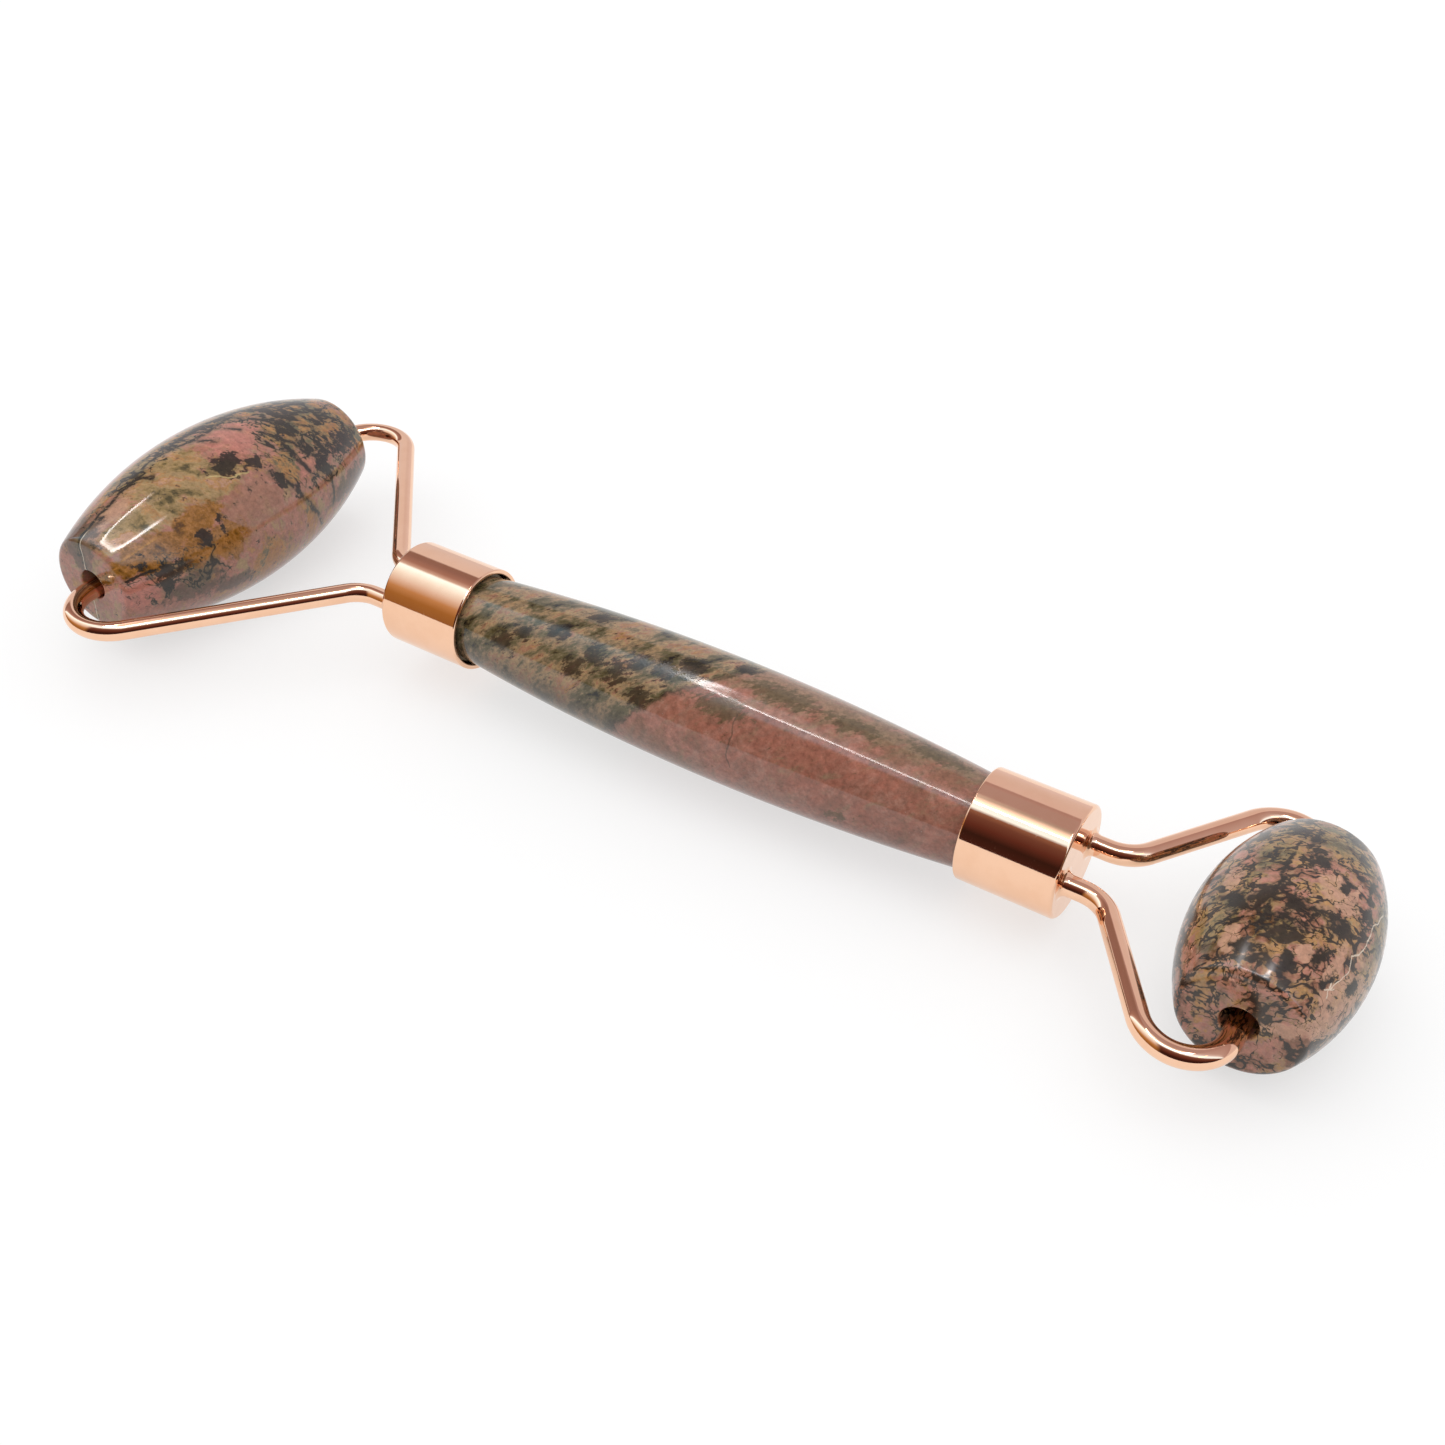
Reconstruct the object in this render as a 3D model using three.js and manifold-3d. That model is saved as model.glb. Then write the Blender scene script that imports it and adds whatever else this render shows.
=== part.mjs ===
// A double-ended stone face roller, in millimetres, +Z up.
//
// It lies at rest on its two rollers. +X runs along the handle towards the small roller, +Y is its left side,
// and the origin is under the middle of its outline, on the surface it rests on.
// Bench order: a barrel-shaped stone handle, glued at each end into a metal ferrule; two wire arms brazed into each
// ferrule's end wall; and a bored stone roller that spins on the two inward ends, the stubs, of each pair of arms.

import * as THREE from "three";
import { mergeVertices } from "three/addons/utils/BufferGeometryUtils.js";
import Module from "manifold-3d";

const wasm = await Module();
wasm.setup();

// ---- Driving dimensions -------------------------------------------------------------------------------------------

const handle = {
  bareLength: 60.6, // stone that shows between the two ferrules
  midRadius: 6.55,
  endRadius: 4.95, // where the stone enters a ferrule
  shoulderDepth: 0.9, // how far inside the ferrule the full section goes on
  tenonRadius: 4.3,
  tenonDepth: 5.6, // how far inside the ferrule the tenon ends
  tenonChamfer: 0.4,
};

const ferrule = {
  radius: 5.88,
  length: 10.3,
  wall: 0.55,
  endWall: 1.4,
  edgeRound: 0.4, // round on the closed end's rim
  lipRound: 0.2, // round on the open end's lip
};

const wire = {
  radius: 1.1,
  pitchFromAxis: 3.3, // how far each arm leaves the ferrule from the handle's axis
  embedded: 3.5, // wire inside the ferrule, measured from its end face
  collarFlare: 0.65, // flared collar of braze on the end face, round each arm
  collarLip: 0.1,
};

// Each yoke is a pair of mirrored arms. elbows are the corners of one arm's route before they are rounded, given as
// [distance out from the ferrule's end face, distance from the handle's axis]. The last corner lies on the axle line,
// cornerAcross from the handle's axis. bends are the centreline radii of them all, in order.
const ends = {
  large: {
    direction: -1,
    axleReach: 70.8, // handle's centre to the roller's axle line, along the handle
    roller: { halfLength: 20, midRadius: 10, endRadius: 5.5 },
    elbows: [[4.9, 3.3]],
    cornerAcross: 34.6,
    bends: [4.2, 4.9],
    stubLength: 8, // wire inside the roller's bore
  },
  small: {
    direction: 1,
    axleReach: 60.3,
    roller: { halfLength: 11.6, midRadius: 8.5, endRadius: 5.7 },
    elbows: [
      [4.1, 3.3],
      [12.8, 16.3],
    ],
    cornerAcross: 19.5,
    bends: [4.2, 5, 3.9],
    stubLength: 6,
  },
};

const rollerEdgeRound = 1.0;
const boreRadius = 1.75;
const boreChamfer = 0.2;
const stubClearance = 0.1; // between a stub and the floor of its loose bore
const glueGap = 0.15; // between the parts that braze or adhesive holds together

const rollerFacets = 28; // a flat facet faces down, so a roller has a place to stand
const roundSteps = 32;
const wireSides = 12;
const wireStep = 1.6; // length of one straight step along a wire
const handleSteps = 18;
const rollerSteps = 11; // an odd count of straight steps, so that no corner lies on the belly
const roundingSteps = 3;

// ---- Working values -----------------------------------------------------------------------------------------------

const mouthX = handle.bareLength / 2;
const faceX = mouthX + ferrule.length;
const ferruleBore = ferrule.radius - ferrule.wall;
const stubDrop = boreRadius - wire.radius - stubClearance; // the stubs lie low in the bores, under the handle's weight
const axleSpan = ends.large.axleReach + ends.small.axleReach;
const heightStep = ends.large.roller.midRadius - ends.small.roller.midRadius;
const slope = Math.asin(heightStep / axleSpan); // the handle slopes down to the small roller
const flatSpan = axleSpan * Math.cos(slope);
const largeAxleX = -(flatSpan - heightStep) / 2; // puts the origin under the middle of the outline
const smallAxleX = largeAxleX + flatSpan;

// ---- Materials ----------------------------------------------------------------------------------------------------

const stoneMaterial = (color) => new THREE.MeshStandardMaterial({ color, roughness: 0.18, metalness: 0 });
const roseGold = () => new THREE.MeshStandardMaterial({ color: 0xe8ad8b, roughness: 0.12, metalness: 1 });
const curedAdhesive = () => new THREE.MeshStandardMaterial({ color: 0xd9cfa8, roughness: 0.5, metalness: 0 });

// ---- Solid helpers ------------------------------------------------------------------------------------------------

function solidFrom(geometry) {
  const bare = geometry.clone();
  bare.deleteAttribute("normal");
  bare.deleteAttribute("uv");
  const merged = mergeVertices(bare, 1e-4);
  return new wasm.Manifold(
    new wasm.Mesh({
      numProp: 3,
      vertProperties: merged.attributes.position.array,
      triVerts: Uint32Array.from(merged.index.array),
    }),
  );
}

function geometryFrom(solid) {
  const mesh = solid.getMesh();
  const geometry = new THREE.BufferGeometry();
  geometry.setAttribute("position", new THREE.BufferAttribute(mesh.vertProperties, mesh.numProp));
  geometry.setIndex(new THREE.BufferAttribute(mesh.triVerts, 1));
  geometry.computeVertexNormals();
  return geometry;
}

// Points of a quarter round about a centre, from one angle to another, in a lathe's [radius, height] plane.
function roundPoints(centreRadius, centreHeight, size, fromAngle, toAngle) {
  const points = [];
  for (let i = 0; i <= roundingSteps; i++) {
    const angle = fromAngle + ((toAngle - fromAngle) * i) / roundingSteps;
    points.push([centreRadius + size * Math.cos(angle), centreHeight + size * Math.sin(angle)]);
  }
  return points;
}

const latheOf = (outline, steps, startAngle = 0) =>
  new THREE.LatheGeometry(
    outline.map(([radius, height]) => new THREE.Vector2(radius, height)),
    steps,
    startAngle,
  );

// Radius of a barrel of circular-arc outline at a distance along its axis from the belly.
function barrelRadius(along, halfLength, midRadius, endRadius) {
  const sag = midRadius - endRadius;
  const arcRadius = (halfLength * halfLength + sag * sag) / (2 * sag);
  return midRadius - (arcRadius - Math.sqrt(arcRadius * arcRadius - along * along));
}

// A route in the XY plane made of straights joined by round bends, as a 3-D curve.
class FlatRoute extends THREE.Curve {
  constructor(corners, bends) {
    super();
    this.path = new THREE.Path();
    this.path.moveTo(corners[0].x, corners[0].y);
    bends.forEach((radius, i) => this.addBend(corners[i], corners[i + 1], corners[i + 2], radius));
    this.path.lineTo(corners.at(-1).x, corners.at(-1).y);
  }

  addBend(before, corner, after, radius) {
    const arriving = corner.clone().sub(before).normalize();
    const leaving = after.clone().sub(corner).normalize();
    const turn = Math.atan2(arriving.cross(leaving), arriving.dot(leaving));
    const side = Math.sign(turn);
    const start = corner.clone().addScaledVector(arriving, -radius * Math.tan(Math.abs(turn) / 2));
    const centre = start.clone().add(new THREE.Vector2(-arriving.y, arriving.x).multiplyScalar(side * radius));
    const startAngle = Math.atan2(start.y - centre.y, start.x - centre.x);
    this.path.lineTo(start.x, start.y);
    this.path.absarc(centre.x, centre.y, radius, startAngle, startAngle + turn, side < 0);
  }

  getPoint(share, target = new THREE.Vector3()) {
    const point = this.path.getPoint(share);
    return target.set(point.x, point.y, 0);
  }
}

// ---- Handle -------------------------------------------------------------------------------------------------------

function handleGeometry() {
  const half = handle.bareLength / 2;
  const shoulder = half + handle.shoulderDepth;
  const tenonEnd = half + handle.tenonDepth;
  const outline = [
    [0, -tenonEnd],
    [handle.tenonRadius - handle.tenonChamfer, -tenonEnd],
    [handle.tenonRadius, -tenonEnd + handle.tenonChamfer],
    [handle.tenonRadius, -shoulder],
  ];
  for (let i = 0; i <= handleSteps; i++) {
    const along = shoulder * ((2 * i) / handleSteps - 1);
    outline.push([barrelRadius(along, half, handle.midRadius, handle.endRadius), along]);
  }
  outline.push(
    [handle.tenonRadius, shoulder],
    [handle.tenonRadius, tenonEnd - handle.tenonChamfer],
    [handle.tenonRadius - handle.tenonChamfer, tenonEnd],
    [0, tenonEnd],
  );
  return latheOf(outline, roundSteps).rotateZ(-Math.PI / 2);
}

// ---- Ferrules and their adhesive ----------------------------------------------------------------------------------

// The two places where the arms pass the ferrule's end wall, as a pair of short rods to cut away.
function armPassages(radius, from, to) {
  return [-1, 1].map((side) =>
    solidFrom(
      new THREE.CylinderGeometry(radius, radius, to - from, roundSteps)
        .rotateZ(-Math.PI / 2)
        .translate((from + to) / 2, side * wire.pitchFromAxis, 0),
    ),
  );
}

// Both are built with the closed end towards +X, and turned round for the large end.
function ferruleGeometry() {
  const { radius, edgeRound, lipRound, endWall } = ferrule;
  const outline = [
    [0, faceX - endWall],
    [ferruleBore, faceX - endWall],
    ...roundPoints(ferruleBore + lipRound, mouthX + lipRound, lipRound, Math.PI, 1.5 * Math.PI),
    ...roundPoints(radius - lipRound, mouthX + lipRound, lipRound, 1.5 * Math.PI, 2 * Math.PI),
    ...roundPoints(radius - edgeRound, faceX - edgeRound, edgeRound, 0, Math.PI / 2),
    [0, faceX],
  ];
  const cup = solidFrom(latheOf(outline, roundSteps).rotateZ(-Math.PI / 2));
  const brazed = [-1, 1].reduce((body, side) => body.add(solidFrom(brazeCollar(side))), cup);
  const holes = armPassages(wire.radius + glueGap, faceX - 2 * endWall, faceX + endWall);
  return geometryFrom(holes.reduce((body, hole) => body.subtract(hole), brazed));
}

// The flared fillet of braze on the end face, round the place where one arm leaves the ferrule.
function brazeCollar(side) {
  const { collarLip, collarFlare, radius } = wire;
  const topRadius = radius + glueGap + collarLip;
  const flare = roundPoints(topRadius + collarFlare, collarFlare, collarFlare, 1.5 * Math.PI, Math.PI);
  const foot = -ferrule.endWall / 2;
  return latheOf([[0, foot], [topRadius, foot], [topRadius, 0], ...flare, [0, collarFlare]], roundSteps)
    .rotateZ(-Math.PI / 2)
    .translate(faceX, side * wire.pitchFromAxis, 0);
}

function adhesiveGeometry() {
  const back = faceX - ferrule.endWall - glueGap;
  const tenonEnd = mouthX + handle.tenonDepth + glueGap;
  const front = mouthX + handle.shoulderDepth + glueGap;
  const outline = [
    [0, tenonEnd],
    [handle.tenonRadius + glueGap, tenonEnd],
    [handle.tenonRadius + glueGap, front],
    [ferruleBore - glueGap, front],
    [ferruleBore - glueGap, back],
    [0, back],
  ];
  const cup = solidFrom(latheOf(outline, roundSteps).rotateZ(-Math.PI / 2));
  const pockets = armPassages(wire.radius + glueGap, faceX - wire.embedded - glueGap, faceX);
  return geometryFrom(pockets.reduce((body, pocket) => body.subtract(pocket), cup));
}

// ---- Wire arms ----------------------------------------------------------------------------------------------------

function armGeometry(end, side) {
  const place = (along, across) => new THREE.Vector2(end.direction * along, side * across);
  const stubEnd = end.roller.halfLength - end.stubLength;
  const corners = [
    place(faceX - wire.embedded, wire.pitchFromAxis),
    ...end.elbows.map(([out, across]) => place(faceX + out, across)),
    place(end.axleReach, end.cornerAcross),
    place(end.axleReach, stubEnd),
  ];
  const route = new FlatRoute(corners, end.bends);
  const section = new THREE.Shape().absarc(0, 0, wire.radius, 0, 2 * Math.PI);
  const rod = new THREE.ExtrudeGeometry(section, {
    extrudePath: route,
    steps: Math.round(route.getLength() / wireStep),
    curveSegments: wireSides / 2,
  });
  return geometryFrom(solidFrom(rod));
}

// ---- Rollers ------------------------------------------------------------------------------------------------------

// A bored barrel about the Y axis, with rounded edges and its flat facets at its true radius.
function rollerGeometry({ halfLength, midRadius, endRadius }) {
  const barrelEnd = halfLength - rollerEdgeRound;
  const barrel = [];
  for (let i = 0; i <= rollerSteps; i++) {
    const along = barrelEnd * ((2 * i) / rollerSteps - 1);
    barrel.push([barrelRadius(along, halfLength, midRadius, endRadius), along]);
  }
  const edge = barrel[0][0] - rollerEdgeRound;
  const lowerEdge = roundPoints(edge, -barrelEnd, rollerEdgeRound, -Math.PI / 2, 0).slice(0, -1);
  const upperEdge = roundPoints(edge, barrelEnd, rollerEdgeRound, 0, Math.PI / 2).slice(1);
  const mouth = halfLength - boreChamfer;
  const outline = [
    [boreRadius, mouth],
    [boreRadius, -mouth],
    [boreRadius + boreChamfer, -halfLength],
    ...lowerEdge,
    ...barrel,
    ...upperEdge,
    [boreRadius + boreChamfer, halfLength],
    [boreRadius, mouth],
  ];
  const acrossFlats = 1 / Math.cos(Math.PI / rollerFacets);
  return latheOf(outline, rollerFacets, Math.PI / rollerFacets).scale(acrossFlats, 1, acrossFlats);
}

// ---- Assembly -----------------------------------------------------------------------------------------------------

const faceRoller = new THREE.Group();

function addPiece(parent, name, geometry, material) {
  const piece = new THREE.Mesh(geometry, material);
  piece.name = name;
  parent.add(piece);
  return piece;
}

// Everything that is rigid with the handle is built about the handle's own axis, then laid at its slope.
const handleFrame = new THREE.Group();
handleFrame.rotation.y = slope;
handleFrame.position.set(
  largeAxleX + ends.large.axleReach * Math.cos(slope),
  0,
  ends.large.roller.midRadius - stubDrop - ends.large.axleReach * Math.sin(slope),
);
faceRoller.add(handleFrame);

addPiece(handleFrame, "handle_stone", handleGeometry(), stoneMaterial(0x96726a));

for (const [size, end] of Object.entries(ends)) {
  const facing = end.direction > 0 ? 0 : Math.PI;
  addPiece(handleFrame, `${size}_ferrule`, ferruleGeometry(), roseGold()).rotation.z = facing;
  addPiece(handleFrame, `${size}_adhesive`, adhesiveGeometry(), curedAdhesive()).rotation.z = facing;
  addPiece(handleFrame, `${size}_yoke_left_arm`, armGeometry(end, 1), roseGold());
  addPiece(handleFrame, `${size}_yoke_right_arm`, armGeometry(end, -1), roseGold());
}

const rollerPlaces = { large: largeAxleX, small: smallAxleX };
for (const [size, x] of Object.entries(rollerPlaces)) {
  const { roller } = ends[size];
  const stone = addPiece(faceRoller, `${size}_roller_stone`, rollerGeometry(roller), stoneMaterial(0x8c6a5c));
  stone.position.set(x, 0, roller.midRadius);
}

export default faceRoller;
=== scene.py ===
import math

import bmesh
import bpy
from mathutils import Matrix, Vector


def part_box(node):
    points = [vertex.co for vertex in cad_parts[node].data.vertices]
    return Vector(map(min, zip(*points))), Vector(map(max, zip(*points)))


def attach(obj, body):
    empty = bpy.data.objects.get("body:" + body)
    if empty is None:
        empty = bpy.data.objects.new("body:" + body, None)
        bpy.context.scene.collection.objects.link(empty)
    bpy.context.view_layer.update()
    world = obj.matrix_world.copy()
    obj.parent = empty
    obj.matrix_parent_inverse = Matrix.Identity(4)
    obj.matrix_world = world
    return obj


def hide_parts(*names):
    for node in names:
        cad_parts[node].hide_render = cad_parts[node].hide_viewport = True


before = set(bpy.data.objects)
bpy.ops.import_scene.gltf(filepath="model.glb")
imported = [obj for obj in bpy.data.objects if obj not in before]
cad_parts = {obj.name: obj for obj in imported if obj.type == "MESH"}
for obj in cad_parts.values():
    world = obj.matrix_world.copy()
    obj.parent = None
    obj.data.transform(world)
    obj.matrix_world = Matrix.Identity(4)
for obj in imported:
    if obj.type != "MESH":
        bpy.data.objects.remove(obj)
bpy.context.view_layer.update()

# Looks of a double-ended stone face roller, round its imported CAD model. Blender 4.5, metres, +Z up.
#
# The rhodonite handle is glued into two rose-gold ferrules. Two wire arms are brazed into each ferrule's
# end face, and a bored stone roller spins on their inward ends. Every shape is turned or swept here at full
# smoothness, from the places that the CAD nodes give. Each stone is a solid procedural pattern in that
# stone's own frame, in millimetres.

MM = 0.001

# ---- Dimensions, in millimetres, as on the CAD model ----

HANDLE_HALF = 30.3  # half of the stone that shows
HANDLE_MID_RADIUS = 6.55
HANDLE_END_RADIUS = 4.95
SHOULDER_DEPTH = 0.9
TENON_RADIUS = 4.3
TENON_DEPTH = 5.6
TENON_CHAMFER = 0.4

FERRULE_RADIUS = 5.88
FERRULE_LENGTH = 10.3
FERRULE_WALL = 0.55
FERRULE_END_WALL = 1.4
FERRULE_EDGE_ROUND = 0.4
FERRULE_LIP_ROUND = 0.2
FACE = HANDLE_HALF + FERRULE_LENGTH  # a ferrule's end face, from the handle's centre

WIRE_RADIUS = 1.1
WIRE_PITCH = 3.3  # from the handle's axis to an arm, where it leaves the ferrule
WIRE_EMBEDDED = 3.5
WIRE_END_CHAMFER = 0.15
BRAZE_FLARE = 0.75
BRAZE_SINK = 0.06  # how far a braze fillet's edges sink into the wire and the end face

ROLLER_EDGE_ROUND = 1.0
BORE_RADIUS = 1.75
BORE_ROUND = 0.22
STUB_CLEARANCE = 0.1

# One arm's elbows are (distance out from the ferrule's end face, distance from the handle's axis). Its last
# corner is on the roller's axle line. Bends are the centreline radii at the corners, in order.
YOKES = {
    "large": {
        "direction": -1,
        "axle_reach": 70.8,
        "elbows": [(4.9, 3.3)],
        "corner_across": 34.6,
        "bends": [4.2, 4.9],
        "stub": 8.0,
        "end_radius": 5.5,
    },
    "small": {
        "direction": 1,
        "axle_reach": 60.3,
        "elbows": [(4.1, 3.3), (12.8, 16.3)],
        "corner_across": 19.5,
        "bends": [4.2, 5.0, 3.9],
        "stub": 6.0,
        "end_radius": 5.7,
    },
}

AROUND_STONE = 160
AROUND_FERRULE = 144
AROUND_WIRE = 48
BARREL_STEPS = 72
BEND_STEPS = 22
ROUND_STEPS = 8


def roller_facts(size):
    """A roller's middle and size, read off its CAD node, whose flats are up and down."""
    low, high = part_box(f"{size}_roller_stone")
    return {
        "middle": (low + high) / 2,
        "half_length": (high.y - low.y) / 2 / MM,
        "mid_radius": (high.z - low.z) / 2 / MM,
        "end_radius": YOKES[size]["end_radius"],
    }


ROLLERS = {size: roller_facts(size) for size in YOKES}
axle_line = ROLLERS["small"]["middle"] - ROLLERS["large"]["middle"]
SLOPE = math.atan2(-axle_line.z, axle_line.x)
STUB_DROP = BORE_RADIUS - WIRE_RADIUS - STUB_CLEARANCE
HANDLE_CENTRE = (
    ROLLERS["large"]["middle"]
    + axle_line.normalized() * YOKES["large"]["axle_reach"] * MM
    - Vector((0, 0, STUB_DROP * MM))
)
HANDLE_PLACE = Matrix.Translation(HANDLE_CENTRE) @ Matrix.Rotation(SLOPE, 4, "Y") @ Matrix.Scale(MM, 4)
TURNED = Matrix.Rotation(math.pi, 4, "Z")


# ---- Shapes ----


def arc(centre_along, centre_radius, size, from_degrees, to_degrees, steps=ROUND_STEPS):
    """Points of a round in a turned outline's (along, radius) plane. 0 degrees is along, 90 outwards."""
    points = []
    for i in range(steps + 1):
        angle = math.radians(from_degrees + (to_degrees - from_degrees) * i / steps)
        points.append((centre_along + size * math.cos(angle), centre_radius + size * math.sin(angle)))
    return points


def barrel_arc(half_length, mid_radius, end_radius):
    """Radius of the circular arc that a barrel's outline follows."""
    sag = mid_radius - end_radius
    return (half_length**2 + sag**2) / (2 * sag)


def turned(outline, around, loop=False):
    """A surface of revolution about X from (along, radius) points. A loop outline closes on itself."""
    shape = bmesh.new()
    rings = []
    for along, radius in outline:
        if radius == 0:
            rings.append([shape.verts.new((along, 0, 0))])
            continue
        turns = [2 * math.pi * i / around for i in range(around)]
        rings.append([shape.verts.new((along, radius * math.cos(t), radius * math.sin(t))) for t in turns])
    following = rings[1:] + (rings[:1] if loop else [])
    for first, second in zip(rings, following):
        bridge(shape, first, second)
    return shape


def bridge(shape, first, second):
    """Faces between two rings, either of which may be a single point."""
    count = max(len(first), len(second))
    for i in range(count):
        corners = [first[i % len(first)], first[(i + 1) % len(first)]]
        corners += [second[(i + 1) % len(second)], second[i % len(second)]]
        shape.faces.new(list(dict.fromkeys(corners)))


def swept(route, radius, sides):
    """A rod along a flat route of (point, direction) pairs, with its two ends chamfered and closed."""
    shape = bmesh.new()
    up = Vector((0, 0, 1))
    first_point, first_heading = route[0]
    last_point, last_heading = route[-1]
    chamfer = WIRE_END_CHAMFER
    sections = [(first_point, first_heading, radius - chamfer)]
    sections += [(first_point + first_heading * chamfer, first_heading, radius)]
    sections += [(point, heading, radius) for point, heading in route[1:-1]]
    sections += [(last_point - last_heading * chamfer, last_heading, radius)]
    sections += [(last_point, last_heading, radius - chamfer)]
    rings = []
    for point, heading, size in sections:
        side = up.cross(heading)
        turns = [2 * math.pi * i / sides for i in range(sides)]
        spokes = [side * math.cos(turn) + up * math.sin(turn) for turn in turns]
        rings.append([shape.verts.new(point + spoke * size) for spoke in spokes])
    for first, second in zip(rings, rings[1:]):
        bridge(shape, first, second)
    shape.faces.new(rings[0])
    shape.faces.new(rings[-1])
    return shape


def bent_route(corners, bends):
    """(point, direction) pairs along straights joined by round bends, in the XY plane."""
    route = [(corners[0], (corners[1] - corners[0]).normalized())]
    for before, corner, after, radius in zip(corners, corners[1:], corners[2:], bends):
        arriving = (corner - before).normalized()
        leaving = (after - corner).normalized()
        turn = math.atan2(arriving.cross(leaving).z, arriving.dot(leaving))
        start = corner - arriving * radius * math.tan(abs(turn) / 2)
        inward = Vector((-arriving.y, arriving.x, 0)) * math.copysign(1, turn)
        centre = start + inward * radius
        for i in range(BEND_STEPS + 1):
            swing = Matrix.Rotation(turn * i / BEND_STEPS, 3, "Z")
            route.append((centre + swing @ (start - centre), swing @ arriving))
    route.append((corners[-1], (corners[-1] - corners[-2]).normalized()))
    return route


def handle_shape():
    """The barrel that shows, with a glued tenon at each end."""
    shoulder = HANDLE_HALF + SHOULDER_DEPTH
    tenon_end = HANDLE_HALF + TENON_DEPTH
    curve = barrel_arc(HANDLE_HALF, HANDLE_MID_RADIUS, HANDLE_END_RADIUS)
    half = [(tenon_end, 0), (tenon_end, TENON_RADIUS - TENON_CHAMFER)]
    half += [(tenon_end - TENON_CHAMFER, TENON_RADIUS), (shoulder, TENON_RADIUS)]
    barrel = []
    for i in range(BARREL_STEPS + 1):
        along = shoulder * (2 * i / BARREL_STEPS - 1)
        barrel.append((along, HANDLE_MID_RADIUS - curve + math.sqrt(curve**2 - along**2)))
    outline = [(-along, radius) for along, radius in half] + barrel + half[::-1]
    return turned(outline, AROUND_STONE)


def ferrule_shape():
    """A cup open towards the handle, on +X."""
    bore = FERRULE_RADIUS - FERRULE_WALL
    lip = FERRULE_LIP_ROUND
    edge = FERRULE_EDGE_ROUND
    outline = [(FACE - FERRULE_END_WALL, 0), (FACE - FERRULE_END_WALL, bore)]
    outline += arc(HANDLE_HALF + lip, bore + lip, lip, 270, 180)
    outline += arc(HANDLE_HALF + lip, FERRULE_RADIUS - lip, lip, 180, 90)
    outline += arc(FACE - edge, FERRULE_RADIUS - edge, edge, 90, 0)
    outline += [(FACE, 0)]
    return turned(outline, AROUND_FERRULE)


def braze_shape():
    """The concave fillet of braze round one arm, its foot on the plane x = 0."""
    inner = WIRE_RADIUS - BRAZE_SINK
    outline = [(-BRAZE_SINK, inner), (BRAZE_FLARE, inner)]
    outline += arc(BRAZE_FLARE, WIRE_RADIUS + BRAZE_FLARE, BRAZE_FLARE, 270, 180)
    outline += [(-BRAZE_SINK, WIRE_RADIUS + BRAZE_FLARE)]
    return turned(outline, AROUND_WIRE, loop=True)


def arm_shape(yoke, half_length, side):
    """One arm of a yoke, from inside the ferrule to the end of its stub in the roller's bore."""
    direction = yoke["direction"]
    stops = [(FACE - WIRE_EMBEDDED, WIRE_PITCH)]
    stops += [(FACE + out, across) for out, across in yoke["elbows"]]
    stops += [(yoke["axle_reach"], yoke["corner_across"]), (yoke["axle_reach"], half_length - yoke["stub"])]
    corners = [Vector((direction * along, side * across, 0)) for along, across in stops]
    return swept(bent_route(corners, yoke["bends"]), WIRE_RADIUS, AROUND_WIRE)


def roller_shape(half_length, mid_radius, end_radius):
    """A bored barrel about X whose rounded edges run smoothly into its belly and its flat ends."""
    curve = barrel_arc(half_length, mid_radius, end_radius)
    curve_centre = mid_radius - curve
    edge = ROLLER_EDGE_ROUND
    edge_along = half_length - edge
    edge_radius = curve_centre + math.sqrt((curve - edge) ** 2 - edge_along**2)
    lean = math.degrees(math.atan2(edge_radius - curve_centre, edge_along))
    barrel = arc(0, curve_centre, curve, 180 - lean, lean, BARREL_STEPS)
    right_edge = arc(edge_along, edge_radius, edge, lean, 0)[1:]
    right_bore = arc(half_length - BORE_ROUND, BORE_RADIUS + BORE_ROUND, BORE_ROUND, 0, -90)
    right = right_edge + right_bore
    left = [(-along, radius) for along, radius in right[::-1]]
    return turned(left + barrel + right, AROUND_STONE, loop=True)


# ---- Node helpers ----


def colour(red, green, blue):
    """A colour from its eight-bit screen values."""
    def linear(value):
        share = value / 255
        return share / 12.92 if share <= 0.04045 else ((share + 0.055) / 1.055) ** 2.4

    return (linear(red), linear(green), linear(blue), 1.0)


def grey(value):
    return (value, value, value, 1)


def new_material(name):
    """A material, and the short forms that fill its empty node tree."""
    material = bpy.data.materials.new(name)
    material.use_nodes = True
    return material, Nodes(material.node_tree)


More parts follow.
